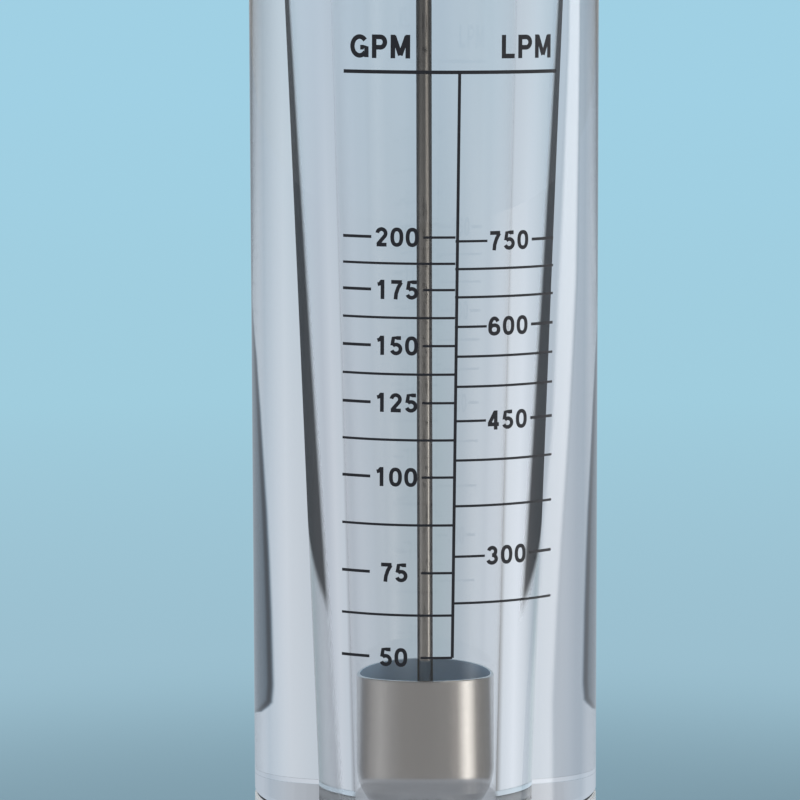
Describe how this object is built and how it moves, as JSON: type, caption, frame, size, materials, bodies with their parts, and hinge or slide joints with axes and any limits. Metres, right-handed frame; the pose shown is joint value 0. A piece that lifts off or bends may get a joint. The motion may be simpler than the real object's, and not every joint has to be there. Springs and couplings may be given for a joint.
{
  "type": "rotameter",
  "caption": "In-line flow meter: clear body with a tapered bore between two threaded adapters, and a steel float that slides on an axial guide rod.",
  "frame": {"origin": "centre of the inlet adapter's end face, which is the lowest face", "axes": "+Z along the bore with the flow, from inlet to outlet; the printed scale faces -Y"},
  "size_m": [0.11, 0.11, 0.436],
  "materials": {
    "clear_acrylic": "polished, clear",
    "white_plastic": "moulded, satin",
    "support_plastic": "moulded",
    "black_rubber": "matt",
    "float_steel": "fine turned",
    "rod_steel": "ground",
    "fastener_steel": "bright",
    "ptfe": "machined, waxy"
  },
  "bodies": {
    "meter": {"metering_tube": "clear_acrylic", "inlet_adapter": "white_plastic", "outlet_adapter": "white_plastic", "inlet_seal_ring": "black_rubber", "outlet_seal_ring": "black_rubber", "inlet_gasket": "black_rubber", "outlet_gasket": "black_rubber", "lower_rod_support": "support_plastic", "upper_rod_support": "support_plastic", "lower_rod_washer": "fastener_steel", "upper_rod_washer": "fastener_steel", "lower_rod_nut": "fastener_steel", "upper_rod_nut": "fastener_steel", "guide_rod": "rod_steel", "lower_bumper": "black_rubber", "upper_bumper": "black_rubber", "upper_stop_sleeve": "support_plastic"},
    "float": {"float": "float_steel", "float_lower_bush": "ptfe", "float_upper_bush": "ptfe"}
  },
  "joints": [
    {"name": "float_travel", "type": "slide", "parent": "meter", "child": "float", "axis": [0, 0, 1], "range_m": [0, 0.2266]}
  ]
}
